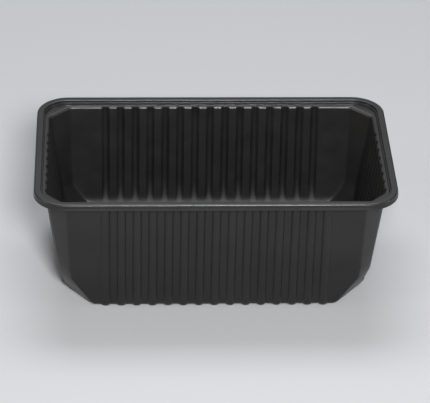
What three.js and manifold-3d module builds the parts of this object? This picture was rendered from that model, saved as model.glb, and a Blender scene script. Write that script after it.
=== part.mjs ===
// An empty food tray, vacuum formed from one sheet of black polypropylene.
// A flat sealing rim with a turned-down skirt stands on a shallow double step. Below it hangs a
// drafted box with ribbed walls, chamfered corners and a facet cut across each bottom corner.
// Millimetres, +Z up, X along the long side; the origin is the centre of the flat resting face.
import * as THREE from 'three';
import * as BufferGeometryUtils from 'three/addons/utils/BufferGeometryUtils.js';
import Module from 'manifold-3d';

const wasm = await Module();
wasm.setup();

// ---- Driving dimensions ----
const RIM_LENGTH = 187;
const RIM_WIDTH = 113;
const HEIGHT = 68;
const SHEET = 0.7; // wall thickness

// Rim, measured inwards from its outer edge and downwards from its top face.
const RIM_RADIUS = 17;
const EDGE_ROUND = 0.8; // rounding of the outer edge
const SKIRT_DROP = 3.3;
const SKIRT_FLARE = 0.3; // the skirt's foot stands out by this much
const FLANGE_WIDTH = 3.9;
const STEP_SLOPE = 0.1; // each step wall leans inwards by this much
const UPPER_STEP_DROP = 1.5;
const UPPER_STEP_WIDTH = 0.45;
const LEDGE_DROP = 2.9;
const LONG_WALL_INSET = 6.5; // rim edge to the top of a long inner wall
const SHORT_WALL_INSET = 6.9;

// Body, outer faces. The base sizes are those of the sharp edge before the foot is rounded.
const BASE_HALF_X = 78.4;
const BASE_HALF_Y = 46.4;
const FOOT_RADIUS = 3.5;

// Corner cuts [along X, along Y]: the facet at the floor, where it ends, and the top chamfer.
const FLOOR_CUT = [16.1, 20.3];
const FACET_TOP_CUT = [5.9, 5.9];
const FACET_TOP_Z = 19.4;
const TOP_CUT = [10.5, 11.2];

// Ribs, pressed outwards, each a shallow arc in section.
const RIB_PITCH = 8.1;
const RIB_WIDTH = 4.7;
const LONG_RIB_DEPTH = 1.25;
const SHORT_RIB_DEPTH = 0.8;
const LONG_RIBS = 15;
const SHORT_RIBS = 8;
const SHORT_RIB_SHIFT = -7.8; // the short walls' ribs start close to the front corner

// ---- Derived sizes ----
const RIM_HALF_X = RIM_LENGTH / 2;
const RIM_HALF_Y = RIM_WIDTH / 2;
const LEDGE_Z = HEIGHT - LEDGE_DROP;
const TOP_HALF_X = RIM_HALF_X - SHORT_WALL_INSET + SHEET;
const TOP_HALF_Y = RIM_HALF_Y - LONG_WALL_INSET + SHEET;
const DIAGONAL_SHARE = 2 - Math.SQRT2; // keeps a 45 degree facet one sheet thick

const mix = THREE.MathUtils.lerp;

/** Where the ribs of one wall stand, along that wall. */
function ribCentres(count, shift) {
  return Array.from({ length: count }, (_, k) => shift + (k - (count - 1) / 2) * RIB_PITCH);
}

/** Points [along, outwards] of a ribbed wall from -half to +half, its ribs narrowed by narrow. */
function wallProfile(half, centres, depth, narrow) {
  const arcSteps = 5;
  const reach = RIB_WIDTH / 2 - narrow;
  const radius = (reach * reach + depth * depth) / (2 * depth);
  const swing = Math.asin(reach / radius);
  const points = [[-half, 0]];
  for (const centre of centres) {
    for (let i = 0; i <= arcSteps; i++) {
      const angle = mix(-swing, swing, i / arcSteps);
      points.push([centre + radius * Math.sin(angle), radius * Math.cos(angle) - radius + depth]);
    }
  }
  return points;
}

/** Ring of a rectangle with ribbed sides, anticlockwise from above. */
function ribbedRing(halfX, halfY, narrow, z) {
  const longRibs = ribCentres(LONG_RIBS, 0);
  const rightRibs = ribCentres(SHORT_RIBS, SHORT_RIB_SHIFT);
  const leftRibs = ribCentres(SHORT_RIBS, -SHORT_RIB_SHIFT);
  const longWall = wallProfile(halfX, longRibs, LONG_RIB_DEPTH, narrow);
  const rightWall = wallProfile(halfY, rightRibs, SHORT_RIB_DEPTH, narrow);
  const leftWall = wallProfile(halfY, leftRibs, SHORT_RIB_DEPTH, narrow);
  return [
    ...longWall.map(([s, out]) => [s, -halfY - out, z]),
    ...rightWall.map(([s, out]) => [halfX + out, s, z]),
    ...longWall.map(([s, out]) => [-s, halfY + out, z]),
    ...leftWall.map(([s, out]) => [-halfX - out, -s, z]),
  ];
}

/** Ring of a rectangle whose corners are cut off straight. */
function cutRing(halfX, halfY, [cutX, cutY], z) {
  return [
    [-halfX + cutX, -halfY, z],
    [halfX - cutX, -halfY, z],
    [halfX, -halfY + cutY, z],
    [halfX, halfY - cutY, z],
    [halfX - cutX, halfY, z],
    [-halfX + cutX, halfY, z],
    [-halfX, halfY - cutY, z],
    [-halfX, -halfY + cutY, z],
  ];
}

/** Ring of the rim's outline, moved inwards by inset, with round corners. */
function rimRing(inset, z) {
  const steps = 9;
  const radius = RIM_RADIUS - inset;
  const ring = [];
  for (let corner = 0; corner < 4; corner++) {
    const signX = corner === 0 || corner === 3 ? 1 : -1;
    const signY = corner < 2 ? 1 : -1;
    const centreX = signX * (RIM_HALF_X - RIM_RADIUS);
    const centreY = signY * (RIM_HALF_Y - RIM_RADIUS);
    for (let i = 0; i <= steps; i++) {
      const angle = (corner + i / steps) * (Math.PI / 2);
      ring.push([centreX + radius * Math.cos(angle), centreY + radius * Math.sin(angle), z]);
    }
  }
  return ring;
}

/** Closed solid through rings of equal length, listed from the bottom up. */
function loft(rings) {
  const count = rings[0].length;
  const indices = [];
  for (let level = 0; level + 1 < rings.length; level++) {
    for (let i = 0; i < count; i++) {
      const next = (i + 1) % count;
      const lower = level * count;
      const upper = lower + count;
      indices.push(lower + i, lower + next, upper + next, lower + i, upper + next, upper + i);
    }
  }
  const capOf = (ring) =>
    THREE.ShapeUtils.triangulateShape(ring.map(([x, y]) => new THREE.Vector2(x, y)), []);
  const top = (rings.length - 1) * count;
  for (const [a, b, c] of capOf(rings[0])) {
    indices.push(a, c, b);
  }
  for (const [a, b, c] of capOf(rings[rings.length - 1])) {
    indices.push(top + a, top + b, top + c);
  }
  const geometry = new THREE.BufferGeometry();
  geometry.setAttribute('position', new THREE.Float32BufferAttribute(rings.flat(2), 3));
  geometry.setIndex(indices);
  return toSolid(geometry);
}

function toSolid(geometry) {
  const merged = BufferGeometryUtils.mergeVertices(geometry, 1e-4);
  const mesh = new wasm.Mesh({
    numProp: 3,
    vertProperties: new Float32Array(merged.attributes.position.array),
    triVerts: new Uint32Array(merged.index.array),
  });
  return new wasm.Manifold(mesh);
}

function toGeometry(solid) {
  const mesh = solid.getMesh();
  const geometry = new THREE.BufferGeometry();
  geometry.setAttribute('position', new THREE.BufferAttribute(mesh.vertProperties, 3));
  geometry.setIndex(new THREE.BufferAttribute(mesh.triVerts, 1));
  geometry.computeVertexNormals();
  return geometry;
}

/** Outer half sizes and corner cut of the body at height z. */
function bodyAt(z) {
  const up = z / LEDGE_Z;
  const halfX = mix(BASE_HALF_X, TOP_HALF_X, up);
  const halfY = mix(BASE_HALF_Y, TOP_HALF_Y, up);
  const inFacet = z < FACET_TOP_Z;
  const [from, to] = inFacet ? [FLOOR_CUT, FACET_TOP_CUT] : [FACET_TOP_CUT, TOP_CUT];
  const share = inFacet ? z / FACET_TOP_Z : (z - FACET_TOP_Z) / (LEDGE_Z - FACET_TOP_Z);
  return { halfX, halfY, cut: [mix(from[0], to[0], share), mix(from[1], to[1], share)] };
}

/** The ribbed box up to topZ, shrunk all round by inset: 0 is the outside, SHEET the inside. */
function bodySolid(inset, topZ) {
  const footSteps = 3;
  const footRadius = FOOT_RADIUS - inset;
  const levels = [];
  for (let i = 0; i <= footSteps; i++) {
    const angle = (i / footSteps) * (Math.PI / 2);
    const z = inset + footRadius * (1 - Math.cos(angle));
    levels.push({ z, tuck: footRadius * (1 - Math.sin(angle)) });
  }
  levels.push({ z: FACET_TOP_Z, tuck: 0 });
  levels.push({ z: topZ, tuck: 0 });

  const ribbed = [];
  const corners = [];
  const clear = LONG_RIB_DEPTH + 1; // the corner cutter's sides stay this far outside the walls
  for (const { z, tuck } of levels) {
    const { halfX, halfY, cut } = bodyAt(z);
    const shrink = inset + tuck;
    const sides = [halfX - shrink, halfY - shrink];
    ribbed.push(ribbedRing(sides[0], sides[1], inset / 2, z)); // the sheet narrows a groove
    const facet = cut.map((length) => length - shrink * DIAGONAL_SHARE);
    const grown = [
      facet[0] + clear * (1 + facet[0] / facet[1]),
      facet[1] + clear * (1 + facet[1] / facet[0]),
    ];
    corners.push(cutRing(sides[0] + clear, sides[1] + clear, grown, z));
  }
  return loft(ribbed).intersect(loft(corners));
}

/** Rim and skirt, open underneath. */
function rimSolid() {
  const skirtZ = HEIGHT - SKIRT_DROP;
  const roundMiddle = EDGE_ROUND * (1 - Math.SQRT1_2);
  const outside = loft([
    rimRing(0, skirtZ),
    rimRing(SKIRT_FLARE, HEIGHT - EDGE_ROUND),
    rimRing(SKIRT_FLARE + roundMiddle, HEIGHT - roundMiddle),
    rimRing(SKIRT_FLARE + EDGE_ROUND, HEIGHT),
  ]);
  const hollow = loft([
    rimRing(SHEET, skirtZ - 1),
    rimRing(SHEET, skirtZ),
    rimRing(SHEET + SKIRT_FLARE, HEIGHT - SHEET),
  ]);
  return outside.subtract(hollow);
}

/** The double step between rim and ledge; outset 0 is the inside, SHEET the outside. */
function stepSolid(outset, topZ) {
  const upperInset = FLANGE_WIDTH + STEP_SLOPE - outset;
  const lowerInset = upperInset + UPPER_STEP_WIDTH;
  return loft([
    rimRing(lowerInset + STEP_SLOPE, LEDGE_Z - outset),
    rimRing(lowerInset, HEIGHT - UPPER_STEP_DROP - outset),
    rimRing(upperInset, HEIGHT - UPPER_STEP_DROP - outset),
    rimRing(upperInset - STEP_SLOPE, topZ),
  ]);
}

function trayGeometry() {
  const overlap = 0.3; // how far one solid reaches into the next, so that they join fully
  const outside = bodySolid(0, LEDGE_Z - overlap)
    .add(stepSolid(SHEET, HEIGHT - overlap))
    .add(rimSolid());
  const inside = bodySolid(SHEET, LEDGE_Z + overlap).add(stepSolid(0, HEIGHT + overlap));
  return toGeometry(outside.subtract(inside));
}

/** Black polypropylene, softly glossy. */
function blackSheet() {
  return new THREE.MeshStandardMaterial({ color: 0x19191b, roughness: 0.34, metalness: 0 });
}

const tray = new THREE.Mesh(trayGeometry(), blackSheet());
tray.name = 'tray';

const container = new THREE.Group();
container.add(tray);

export default container;
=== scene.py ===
"""An empty black food tray with ribbed walls, standing on a pale studio floor."""

import math

import bpy
from mathutils import Matrix, Vector


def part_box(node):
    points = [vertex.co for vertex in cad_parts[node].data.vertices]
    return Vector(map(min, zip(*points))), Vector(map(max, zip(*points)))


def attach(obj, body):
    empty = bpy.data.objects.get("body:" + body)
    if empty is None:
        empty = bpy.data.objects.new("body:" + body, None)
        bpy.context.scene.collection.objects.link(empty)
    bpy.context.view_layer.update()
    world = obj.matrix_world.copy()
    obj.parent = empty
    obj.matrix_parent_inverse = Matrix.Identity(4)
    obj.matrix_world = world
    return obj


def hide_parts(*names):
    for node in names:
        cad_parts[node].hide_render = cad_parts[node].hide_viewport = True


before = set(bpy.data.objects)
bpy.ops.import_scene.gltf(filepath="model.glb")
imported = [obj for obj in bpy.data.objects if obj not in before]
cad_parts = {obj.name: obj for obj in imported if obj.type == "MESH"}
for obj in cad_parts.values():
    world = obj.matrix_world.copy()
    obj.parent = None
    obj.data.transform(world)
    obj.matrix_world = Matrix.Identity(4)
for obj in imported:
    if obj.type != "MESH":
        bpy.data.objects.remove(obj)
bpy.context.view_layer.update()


# ---------------------------------------------------------------------------------------------
# The tray: one sheet of black polypropylene, drawn into a mould by vacuum and trimmed round its
# rim. A flat sealing flange stands on a double step, and the ribs that stiffen the walls are
# pressed outwards, so each is a round groove inside and a round lobe outside. In millimetres.
# ---------------------------------------------------------------------------------------------
MM = 0.001

tray_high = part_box("tray")[1]
RIM_HALF_X = tray_high.x / MM
RIM_HALF_Y = tray_high.y / MM
HEIGHT = tray_high.z / MM

SHEET = 0.5  # the drawn walls are thinner than the flange and its skirt
FLANGE_SHEET = 0.6
RIM_RADIUS = 17.0
FLANGE_WIDTH = 3.9
EDGE_INSET = 0.3  # the rounded top edge stands this far inside the skirt's foot
SKIRT_DROP = 3.3
SKIRT_KNEE_DROP = 2.1  # below this knee, the skirt's foot turns out
SKIRT_FLARE = 0.25
STEP_DROP = 1.5  # flange to upper step
STEP_SLOPE = 0.1  # each step's side leans inwards by this much
STEPS_WIDTH = 0.65  # both steps together
LEDGE_DROP = 2.9
LEDGE_Z = HEIGHT - LEDGE_DROP
LEDGE_INSET = FLANGE_WIDTH + STEPS_WIDTH
LEDGE_BEND = 1.2  # how the ledge rolls over into the walls

LONG_WALL_INSET = 6.5  # rim edge to the top of a long inner wall
SHORT_WALL_INSET = 6.9
TOP_HALF_X = RIM_HALF_X - SHORT_WALL_INSET + SHEET
TOP_HALF_Y = RIM_HALF_Y - LONG_WALL_INSET + SHEET
BASE_HALF_X = 78.4
BASE_HALF_Y = 46.4
FOOT_RADIUS = 3.5
INSIDE_FOOT_HEIGHT = 19.5  # the curve at the foot of the grooves, where the ridges run out
INSIDE_FOOT_REACH = 10.0

# Corner cuts along X and along Y: the facet at the floor, where it ends, and the top chamfer.
FLOOR_CUT = Vector((16.1, 20.3))
FACET_TOP_CUT = 5.9
FACET_TOP_Z = 19.4
TOP_CUT = 10.85
CORNER_SOFTNESS = 0.7  # how far a corner's edges are rounded
CORNER_FADE = 12.0  # and how far from an edge its rounding dies out

RIB_PITCH = 8.1
RIB_WIDTH = 4.7
RIB_DEPTH = 1.45
SHORT_RIB_SHARE = 0.6  # how deep the short walls' ribs are pressed, next to the long walls'
RIB_CREASE = 0.25  # how softly a lobe meets the wall
RIB_MARGIN = 0.55  # wall beside an end rib that goes with the ribs
RIB_TO_CORNER = 1.2  # the least from a rib's side to the sharp corner, close to the floor
LONG_RIBS = 15
SHORT_RIBS = 8
SHORT_RIB_SHIFT = -7.8  # the short walls' ribs start close to the front corner
INSIDE_NARROWING = 0.3  # each groove inside is this much narrower, on each side, than its lobe
INSIDE_PRESS = 1.1  # and this many times as deep, because the sheet is drawn thinner there
RIB_FADE = 3.0  # the ribs get shallower over this height, up to the bend of the ledge
TOP_PRESS = 0.85  # what is left of their depth at the bend
LEDGE_PRESS = 0.15  # and on the ledge
RUN_OUT_SOFTNESS = 0.25  # how softly an inside ridge meets the foot curve

# Each wall: along it, outwards from it, whether it is a long wall, and the middle of its ribs.
WALLS = (
    (Vector((1, 0)), Vector((0, -1)), True, 0.0),
    (Vector((0, 1)), Vector((1, 0)), False, SHORT_RIB_SHIFT),
    (Vector((-1, 0)), Vector((0, 1)), True, 0.0),
    (Vector((0, -1)), Vector((-1, 0)), False, -SHORT_RIB_SHIFT),
)

# Where the mesh lines run: across a rib, as shares of its half width, and how many there are on
# the plain panel beside the ribs and on a corner, crowded towards the edge between those two.
RIB_STATIONS = (-1.12, -1.03, -0.97, -0.86, -0.6, -0.22, 0.22, 0.6, 0.86, 0.97, 1.03, 1.12)
PANEL_STEPS = 7
PANEL_LEAST = 0.4  # the panel's least length
PANEL_CROWDING = 1.6
CORNER_STEPS = 8
CORNER_CROWDING = 1.7


def mix(start, end, share):
    """The value at a share of the way from start to end."""
    return start + (end - start) * share


def rib_zone(is_long):
    """Half the length of wall that the ribs take up."""
    count = LONG_RIBS if is_long else SHORT_RIBS
    return (count - 1) / 2 * RIB_PITCH + RIB_WIDTH / 2 + RIB_MARGIN


def tray_columns():
    """The mesh lines that run down the tray, once round it.

    Each is (wall, kind, side of the wall, share), and for a rib (wall, kind, centre, station).
    """
    columns = []
    for wall, (_, _, is_long, rib_middle) in enumerate(WALLS):
        count = LONG_RIBS if is_long else SHORT_RIBS
        for step in range(CORNER_STEPS - 1, 0, -1):
            columns.append((wall, "corner", -1, step / CORNER_STEPS))
        for step in range(PANEL_STEPS, -1, -1):
            columns.append((wall, "panel", -1, step / PANEL_STEPS))
        for rib in range(count):
            centre = rib_middle + (rib - (count - 1) / 2) * RIB_PITCH
            for station in RIB_STATIONS:
                columns.append((wall, "rib", centre, station))
        for step in range(PANEL_STEPS + 1):
            columns.append((wall, "panel", 1, step / PANEL_STEPS))
        for step in range(1, CORNER_STEPS + 1):
            columns.append((wall, "corner", 1, step / CORNER_STEPS))
    return columns


def wall_sizes(z):
    """Outer half sizes of the walls at a height."""
    up = z / LEDGE_Z
    return Vector((mix(BASE_HALF_X, TOP_HALF_X, up), mix(BASE_HALF_Y, TOP_HALF_Y, up)))


def corner_cuts(z):
    """The two straight cuts across a corner at a height: direction and distance of each."""
    half = wall_sizes(z)
    above_facet = (z - FACET_TOP_Z) / (LEDGE_Z - FACET_TOP_Z)
    chamfer_cut = mix(FACET_TOP_CUT, TOP_CUT, above_facet)
    chamfer = Vector((1, 1)).normalized()
    chamfer_reach = (half.x + half.y - chamfer_cut) * math.sqrt(0.5)

    facet = Vector((1 / FLOOR_CUT.x, 1 / FLOOR_CUT.y)).normalized()
    at_floor = facet.dot(wall_sizes(0) - Vector((FLOOR_CUT.x, 0)))
    middle = FACET_TOP_CUT / 2
    at_top = facet.dot(wall_sizes(FACET_TOP_Z) - Vector((middle, middle)))
    return (chamfer, chamfer_reach), (facet, mix(at_floor, at_top, z / FACET_TOP_Z))


def body_point(column, z, shrink, narrow):
    """A point of a wall in plan, its place from the middle of the ribs, and a lobe's room."""
    wall, kind, first, share = column
    along, outwards, is_long, rib_middle = WALLS[wall]
    half = wall_sizes(z)
    half_along, half_out = (half.x, half.y) if is_long else (half.y, half.x)
    half_along -= shrink
    half_out -= shrink

    starts = []
    cuts = []
    for direction, reach in corner_cuts(z):
        n_along, n_out = (direction.x, direction.y) if is_long else (direction.y, direction.x)
        starts.append((reach - shrink - n_out * half_out) / n_along)
        cuts.append((n_along, n_out, reach - shrink))

    if kind == "rib":
        place = first + share * (RIB_WIDTH / 2 - narrow)
        rib_end = math.copysign(1, place) * rib_middle + rib_zone(is_long)
        place *= min(1, (half_along - RIB_TO_CORNER) / rib_end)
    else:
        rib_end = min(first * rib_middle + rib_zone(is_long), half_along - RIB_TO_CORNER)
        cut_start = max(min(starts), rib_end + PANEL_LEAST)
        if kind == "panel":
            place = first * mix(rib_end, cut_start, 1 - (1 - share) ** PANEL_CROWDING)
        else:
            place = first * mix(cut_start, half_along, share**CORNER_CROWDING)

    distance = half_out
    reached = abs(place)
    room = min((reach - n_along * reached - n_out * half_out) / n_out
               for n_along, n_out, reach in cuts)
    for n_along, n_out, reach in cuts:
        excess = n_along * reached + n_out * distance - reach
        pull = (excess + math.hypot(excess, CORNER_SOFTNESS)) / 2
        pull -= CORNER_SOFTNESS**2 / (4 * math.hypot(excess, CORNER_FADE))
        reached -= n_along * max(pull, 0)
        distance -= n_out * max(pull, 0)
    side = -1 if place < 0 else 1
    return along * (side * reached) + outwards * distance, place - rib_middle, max(room, 0)


def rim_point(column, inset):
    """A point of the rim in plan, moved inwards from its edge, with round corners."""
    wall, kind, first, share = column
    along, outwards, is_long, rib_middle = WALLS[wall]
    half_along, half_out = (RIM_HALF_X, RIM_HALF_Y) if is_long else (RIM_HALF_Y, RIM_HALF_X)
    straight = half_along - RIM_RADIUS
    radius = RIM_RADIUS - inset
    if kind == "corner":
        angle = share * math.pi / 4
        place = first * (straight + radius * math.sin(angle))
        distance = half_out - RIM_RADIUS + radius * math.cos(angle)
        return along * place + outwards * distance
    if kind == "panel":
        rib_end = first * rib_middle + rib_zone(is_long)
        place = first * mix(rib_end, straight, share)
    else:
        place = first + share * RIB_WIDTH / 2
    return along * place + outwards * (half_out - inset)


def rounded(corners):
    """Rows along a profile of (inset, z, radius), with each corner turned into a short arc."""
    beside_arc = 0.08  # an extra row this far from each arc keeps the shading of the flats flat
    rows = []
    for before, corner, after in zip(corners, corners[1:], corners[2:]):
        point = Vector(corner[:2])
        radius = corner[2]
        back = (Vector(before[:2]) - point).normalized()
        ahead = (Vector(after[:2]) - point).normalized()
        opening = back.angle(ahead)
        setback = radius / math.tan(opening / 2)
        centre = point + (back + ahead).normalized() * radius / math.sin(opening / 2)
        start = point + back * setback - centre
        end = point + ahead * setback - centre
        turn = math.pi - opening
        steps = 4 if radius > 0.3 else 3 if radius > 0.12 else 2
        rows.append(tuple(point + back * (setback + beside_arc)))
        for step in range(steps + 1):
            share = step / steps
            swung = start * math.sin(turn * (1 - share)) + end * math.sin(turn * share)
            rows.append(tuple(centre + swung / math.sin(turn)))
        rows.append(tuple(point + ahead * (setback + beside_arc)))
    return rows


def quarter_turn(steps):
    """Angles from nought to a right angle."""
    return [step / steps * math.pi / 2 for step in range(steps + 1)]


def tray_rows():
    """The rows of the inside from the floor up, of the rim, and of the outside down to the base.

    A wall row is (z, shrink, narrow, press) and a rim row is (z, inset).
    """
    wall_top = LEDGE_Z - LEDGE_BEND
    flat_ring = 4  # width of the ring of flat floor or base beside a foot curve

    def inside_foot():
        rows = []
        for angle in quarter_turn(18):
            z = SHEET + INSIDE_FOOT_HEIGHT * (1 - math.cos(angle))
            past_ridge = INSIDE_FOOT_REACH * (1 - math.sin(angle)) - RIB_DEPTH * INSIDE_PRESS
            ridge_in_by = (past_ridge + math.hypot(past_ridge, RUN_OUT_SOFTNESS)) / 2
            press = (ridge_in_by - past_ridge) / RIB_DEPTH
            rows.append((z, SHEET + ridge_in_by, INSIDE_NARROWING, press))
        floor_edge = (SHEET, rows[0][1] + flat_ring, INSIDE_NARROWING, 0)
        return [floor_edge] + rows

    def outside_foot():
        rows = [(0, FOOT_RADIUS + flat_ring, 0, 0)]
        for angle in quarter_turn(6):
            z = FOOT_RADIUS * (1 - math.cos(angle))
            rows.append((z, FOOT_RADIUS * (1 - math.sin(angle)), 0, 1))
        return rows

    def wall_rows(foot_top, shrink, narrow, press):
        full_steps, fade_steps = 8, 3
        fade_start = wall_top - RIB_FADE
        fade_end = wall_top - (0 if shrink else SHEET)
        rows = []
        for step in range(1, full_steps + 1):
            z = mix(foot_top, fade_start, step / full_steps)
            rows.append((z, shrink, narrow, press))
        for step in range(1, fade_steps + 1):
            z = mix(fade_start, fade_end, step / fade_steps)
            rows.append((z, shrink, narrow, press * mix(1, TOP_PRESS, step / fade_steps)))
        return rows

    def ledge_rows(top, shrink, narrow):
        rows = []
        for angle in quarter_turn(6)[1:]:
            out = LEDGE_BEND * (1 - math.cos(angle))
            weight = mix(TOP_PRESS, LEDGE_PRESS, 1 - math.cos(angle))
            z = top - LEDGE_BEND * (1 - math.sin(angle))
            rows.append((z, shrink - out, narrow, weight))
        return rows

    inside = inside_foot()
    inside += wall_rows(inside[-1][0], SHEET, INSIDE_NARROWING, INSIDE_PRESS)
    inside += ledge_rows(LEDGE_Z, SHEET, INSIDE_NARROWING)
    outside = outside_foot()
    outside += wall_rows(FOOT_RADIUS, 0, 0, 1)
    outside += ledge_rows(LEDGE_Z - SHEET, 0, 0)
    step_z = HEIGHT - STEP_DROP
    skirt_z = HEIGHT - SKIRT_DROP
    flange_z = HEIGHT - FLANGE_SHEET
    rim = rounded([
        (LONG_WALL_INSET, LEDGE_Z, 0),
        (LEDGE_INSET, LEDGE_Z, 0.3),
        (LEDGE_INSET - STEP_SLOPE, step_z, 0.15),
        (FLANGE_WIDTH + STEP_SLOPE, step_z, 0.15),
        (FLANGE_WIDTH, HEIGHT, 0.45),
        (EDGE_INSET, HEIGHT, 0.8),
        (SKIRT_FLARE, HEIGHT - SKIRT_KNEE_DROP, 0.5),
        (0.0, skirt_z, 0.1),
        (FLANGE_SHEET, skirt_z, 0.1),
        (FLANGE_SHEET + SKIRT_FLARE, flange_z, 0.25),
        (FLANGE_WIDTH - SHEET, flange_z, 0.2),
        (FLANGE_WIDTH + STEP_SLOPE - SHEET, step_z - SHEET, 0.1),
        (LEDGE_INSET - STEP_SLOPE - SHEET, step_z - SHEET, 0.1),
        (LEDGE_INSET - SHEET, LEDGE_Z - SHEET, 0.3),
        (LONG_WALL_INSET - SHEET, LEDGE_Z - SHEET, 0),
    ])
    return inside, [(z, inset) for inset, z in rim], outside[::-1]


def tray_mesh():
    """The tray without its ribs, and on each point what the ribs need to know."""
    columns = tray_columns()
    inside, rim, outside = tray_rows()
    points, along, outward, press, room, narrowing, long_wall = [], [], [], [], [], [], []
    for row in inside + rim + outside:
        for column in columns:
            wall = column[0]
            if len(row) == 4:
                z, shrink, narrow, weight = row
                plan, place, space = body_point(column, z, shrink, narrow)
            else:
                z, inset = row
                plan, place, space, narrow, weight = rim_point(column, inset), 0, 0, 0, 0
            points.append((plan.x * MM, plan.y * MM, z * MM))
            along.append(place * MM)
            outward.extend((WALLS[wall][1].x, WALLS[wall][1].y, 0))
            press.append(weight if WALLS[wall][2] else weight * SHORT_RIB_SHARE)
            room.append(space * MM)
            narrowing.append(narrow * MM)
            long_wall.append(float(WALLS[wall][2]))

    count = len(columns)
    last = len(points) - count
    floor_middle, base_middle = len(points), len(points) + 1
    points += [(0, 0, SHEET * MM), (0, 0, 0)]
    for values in (along, press, room, narrowing, long_wall):
        values.extend((0, 0))
    outward.extend((0, 0, 0) * 2)
    faces = []
    for column in range(count):
        following = (column + 1) % count
        faces.append((floor_middle, column, following))
        for here in range(0, last, count):
            below = here + count
            faces.append((here + column, below + column, below + following, here + following))
        faces.append((base_middle, last + following, last + column))
    mesh = bpy.data.meshes.new("tray_shell")
    mesh.from_pydata(points, [], faces)
    for name, values in (("along", along), ("press", press), ("room", room),
                         ("narrowing", narrowing), ("long_wall", long_wall)):
        mesh.attributes.new(name, "FLOAT", "POINT").data.foreach_set("value", values)
    mesh.attributes.new("outward", "FLOAT_VECTOR", "POINT").data.foreach_set("vector", outward)
    mesh.shade_smooth()
    return mesh


def rib_press():
    """Geometry Nodes that press the ribs outwards, each a lobe with a round section."""
    tree = bpy.data.node_groups.new("press_ribs", "GeometryNodeTree")
    sockets = tree.interface
    sockets.new_socket("Geometry", in_out="INPUT", socket_type="NodeSocketGeometry")
    for name in ("Pitch", "Width", "Depth", "Crease", "Long Ribs", "Short Ribs"):
        sockets.new_socket(name, in_out="INPUT", socket_type="NodeSocketFloat")
    sockets.new_socket("Material", in_out="INPUT", socket_type="NodeSocketMaterial")
    sockets.new_socket("Geometry", in_out="OUTPUT", socket_type="NodeSocketGeometry")
    links = tree.links
    given = tree.nodes.new("NodeGroupInput").outputs

    def attribute(name, kind="FLOAT"):
        node = tree.nodes.new("GeometryNodeInputNamedAttribute")
        node.data_type = kind
        node.inputs["Name"].default_value = name
        return next(out for out in node.outputs if out.enabled and out.name == "Attribute")

    def math_node(operation, *values):
        node = tree.nodes.new("ShaderNodeMath")
        node.operation = operation
        for socket, value in zip(node.inputs, values):
            if isinstance(value, (int, float)):
                socket.default_value = value
            else:
                links.new(value, socket)
        return node.outputs[0]

    more = math_node("SUBTRACT", given["Long Ribs"], given["Short Ribs"])
    count = math_node("MULTIPLY_ADD", more, attribute("long_wall"), given["Short Ribs"])
    last = math_node("SUBTRACT", count, 1)
    half_count = math_node("DIVIDE", last, 2)
    place = attribute("along")
    steps = math_node("ADD", math_node("DIVIDE", place, given["Pitch"]), half_count)
    nearest = math_node("MINIMUM", math_node("MAXIMUM", math_node("ROUND", steps), 0), last)
    centre = math_node("MULTIPLY", math_node("SUBTRACT", nearest, half_count), given["Pitch"])
    off_centre = math_node("ABSOLUTE", math_node("SUBTRACT", place, centre))

    outer_half = math_node("DIVIDE", given["Width"], 2)
    half_width = math_node("SUBTRACT", outer_half, attribute("narrowing"))
    depth_square = math_node("POWER", given["Depth"], 2)
    squares = math_node("ADD", math_node("POWER", half_width, 2), depth_square)
    radius = math_node("DIVIDE", squares, math_node("MULTIPLY", given["Depth"], 2))
    chord = math_node("SUBTRACT", math_node("POWER", radius, 2), math_node("POWER", off_centre, 2))
    arc = math_node("SQRT", math_node("MAXIMUM", chord, 0))
    height = math_node("SUBTRACT", arc, math_node("SUBTRACT", radius, given["Depth"]))
    soft_height = math_node("SMOOTH_MAX", height, 0, given["Crease"])
    pressed = math_node("MULTIPLY", soft_height, attribute("press"))
    offset = math_node("MINIMUM", pressed, attribute("room"))

    scaled = tree.nodes.new("ShaderNodeVectorMath")
    scaled.operation = "SCALE"
    links.new(attribute("outward", "FLOAT_VECTOR"), scaled.inputs[0])
    links.new(offset, scaled.inputs["Scale"])
    move = tree.nodes.new("GeometryNodeSetPosition")
    links.new(given["Geometry"], move.inputs["Geometry"])
    links.new(scaled.outputs[0], move.inputs["Offset"])
    realize = tree.nodes.new("GeometryNodeRealizeInstances")
    links.new(move.outputs[0], realize.inputs[0])
    dress = tree.nodes.new("GeometryNodeSetMaterial")
    links.new(realize.outputs[0], dress.inputs["Geometry"])
    links.new(given["Material"], dress.inputs["Material"])
    links.new(dress.outputs[0], tree.nodes.new("NodeGroupOutput").inputs[0])
    return tree


DEEP_BLACK = (0.0042, 0.0042, 0.0044, 1)
CLOUD_BLACK = (0.0066, 0.0066, 0.0068, 1)  # the slightly paler clouds in it


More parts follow.
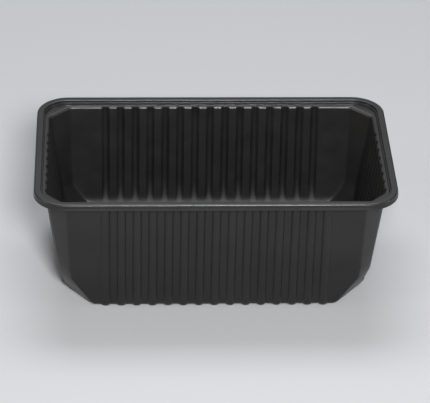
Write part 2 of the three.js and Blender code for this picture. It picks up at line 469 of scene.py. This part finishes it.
def black_polypropylene():
    """Carbon-black sheet: a soft sheen under a thin gloss, a little uneven from the drawing."""
    material = bpy.data.materials.new("black_polypropylene")
    material.use_nodes = True
    nodes = material.node_tree.nodes
    links = material.node_tree.links
    sheet = nodes["Principled BSDF"]
    sheet.inputs["IOR"].default_value = 1.49
    sheet.inputs["Specular IOR Level"].default_value = 0.28
    sheet.inputs["Coat Weight"].default_value = 0.25
    sheet.inputs["Coat Roughness"].default_value = 0.2
    sheet.inputs["Coat IOR"].default_value = 1.49
    place = nodes.new("ShaderNodeTexCoord").outputs["Object"]

    def noise(scale, detail):
        node = nodes.new("ShaderNodeTexNoise")
        node.inputs["Scale"].default_value = scale
        node.inputs["Detail"].default_value = detail
        links.new(place, node.inputs["Vector"])
        return node.outputs["Fac"]

    def spread(fac, low, high):
        """A noise, which stays near the middle of its range, spread from low to high."""
        node = nodes.new("ShaderNodeMapRange")
        links.new(fac, node.inputs["Value"])
        node.inputs["From Min"].default_value = 0.3
        node.inputs["From Max"].default_value = 0.7
        node.inputs["To Min"].default_value = low
        node.inputs["To Max"].default_value = high
        return node.outputs["Result"]

    clouds = spread(noise(scale=60, detail=3), 0.0, 1.0)
    tint = nodes.new("ShaderNodeMix")
    tint.data_type = "RGBA"
    tint.inputs[6].default_value = DEEP_BLACK
    tint.inputs[7].default_value = CLOUD_BLACK
    links.new(clouds, tint.inputs[0])
    links.new(tint.outputs[2], sheet.inputs["Base Color"])

    satin = spread(noise(scale=140, detail=4), 0.45, 0.52)
    links.new(satin, sheet.inputs["Roughness"])

    waves = nodes.new("ShaderNodeBump")
    waves.inputs["Strength"].default_value = 0.15
    waves.inputs["Distance"].default_value = 0.0004
    links.new(noise(scale=45, detail=1), waves.inputs["Height"])
    links.new(waves.outputs["Normal"], sheet.inputs["Normal"])
    return material


blank = bpy.data.objects.new("tray_blank", tray_mesh())
bpy.context.scene.collection.objects.link(blank)
press = blank.modifiers.new("ribs", "NODES")
press.node_group = rib_press()
rib_sizes = {
    "Pitch": RIB_PITCH * MM,
    "Width": RIB_WIDTH * MM,
    "Depth": RIB_DEPTH * MM,
    "Crease": RIB_CREASE * MM,
    "Long Ribs": float(LONG_RIBS),
    "Short Ribs": float(SHORT_RIBS),
    "Material": black_polypropylene(),
}
for socket in press.node_group.interface.items_tree:
    if socket.in_out == "INPUT" and socket.name in rib_sizes:
        press[socket.identifier] = rib_sizes[socket.name]

pressed_blank = blank.evaluated_get(bpy.context.evaluated_depsgraph_get())
tray = bpy.data.objects.new("tray_shell", bpy.data.meshes.new_from_object(pressed_blank))
bpy.context.scene.collection.objects.link(tray)
bpy.data.objects.remove(blank)
for name in ("along", "outward", "press", "room", "narrowing", "long_wall"):
    tray.data.attributes.remove(tray.data.attributes[name])
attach(tray, "root")
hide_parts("tray")


# ---------------------------------------------------------------------------------------------
# The studio: a seamless pale floor, a large soft box high behind the tray, a small one in front
# that reaches down into it, and two weak warm ones low at its sides. The camera looks down at
# the long front wall. In metres.
# ---------------------------------------------------------------------------------------------
FLOOR_HALF = 3.0
FLOOR_Z = -0.0001  # the tray's flat foot stays clear of the floor
FLOOR_GREY = (0.305, 0.31, 0.32, 1)
COOL_WHITE = (0.96, 0.98, 1)
WARM_WHITE = (1, 0.88, 0.78)
AIR_BRIGHTNESS = 0.23

CAMERA_PLACE = Vector((-53.6, -1154.9, 743.4)) * MM
CAMERA_YAW = math.radians(-2.72)
CAMERA_PITCH = math.radians(31.47)  # downwards
CAMERA_ROLL = math.radians(1.24)
CAMERA_LENS = 213.8


def stage_floor():
    """The floor, with no shine of its own."""
    mesh = bpy.data.meshes.new("studio_floor")
    signs = ((-1, -1), (1, -1), (1, 1), (-1, 1))
    corners = [(x * FLOOR_HALF, y * FLOOR_HALF, FLOOR_Z) for x, y in signs]
    mesh.from_pydata(corners, [], [(0, 1, 2, 3)])
    floor = bpy.data.objects.new("studio_floor", mesh)
    bpy.context.scene.collection.objects.link(floor)
    material = bpy.data.materials.new("pale_floor")
    material.use_nodes = True
    surface = material.node_tree.nodes["Principled BSDF"]
    surface.inputs["Base Color"].default_value = FLOOR_GREY
    surface.inputs["Roughness"].default_value = 0.9
    surface.inputs["Specular IOR Level"].default_value = 0.0
    mesh.materials.append(material)


def soft_box(name, place, size, watts, tint=(1, 1, 1)):
    """A rectangular lamp that faces the middle of the tray."""
    light = bpy.data.lights.new(name, "AREA")
    light.shape = "RECTANGLE"
    light.size, light.size_y = size
    light.energy = watts
    light.color = tint
    lamp = bpy.data.objects.new(name, light)
    lamp.location = place
    aim = Vector((0, 0, 0.03)) - Vector(place)
    lamp.rotation_euler = aim.to_track_quat("-Z", "Y").to_euler()
    bpy.context.scene.collection.objects.link(lamp)


def studio_air():
    """Even light from all round."""
    world = bpy.data.worlds.new("studio_air")
    world.use_nodes = True
    background = world.node_tree.nodes["Background"]
    background.inputs["Color"].default_value = (1, 1, 1, 1)
    background.inputs["Strength"].default_value = AIR_BRIGHTNESS
    bpy.context.scene.world = world


def photo_camera():
    """The camera, turned by yaw, then pitch, then roll."""
    level = math.cos(CAMERA_PITCH)
    ahead = Vector((-math.sin(CAMERA_YAW) * level, math.cos(CAMERA_YAW) * level,
                    -math.sin(CAMERA_PITCH)))
    right = Vector((math.cos(CAMERA_YAW), math.sin(CAMERA_YAW), 0))
    up = right.cross(ahead)
    rolled_right = right * math.cos(CAMERA_ROLL) + up * math.sin(CAMERA_ROLL)
    rolled_up = up * math.cos(CAMERA_ROLL) - right * math.sin(CAMERA_ROLL)
    camera = bpy.data.cameras.new("photo_camera")
    camera.sensor_fit = "HORIZONTAL"
    camera.sensor_width = 36
    camera.lens = CAMERA_LENS
    camera.clip_start = 0.05
    camera.clip_end = 20
    mount = bpy.data.objects.new("photo_camera", camera)
    turned = Matrix((rolled_right, rolled_up, -ahead)).transposed().to_4x4()
    mount.matrix_world = Matrix.Translation(CAMERA_PLACE) @ turned
    bpy.context.scene.collection.objects.link(mount)
    bpy.context.scene.camera = mount


stage_floor()
studio_air()
soft_box("back_box", place=(0.0, 0.6, 1.25), size=(0.8, 0.5), watts=17, tint=COOL_WHITE)
soft_box("front_box", place=(0.06, -1.0, 0.75), size=(0.22, 0.22), watts=28)
soft_box("left_box", place=(-1.3, -0.35, 0.31), size=(0.25, 0.25), watts=6, tint=WARM_WHITE)
soft_box("right_box", place=(1.3, -0.35, 0.31), size=(0.25, 0.25), watts=6, tint=WARM_WHITE)
photo_camera()
bpy.context.scene.view_settings.view_transform = "Standard"
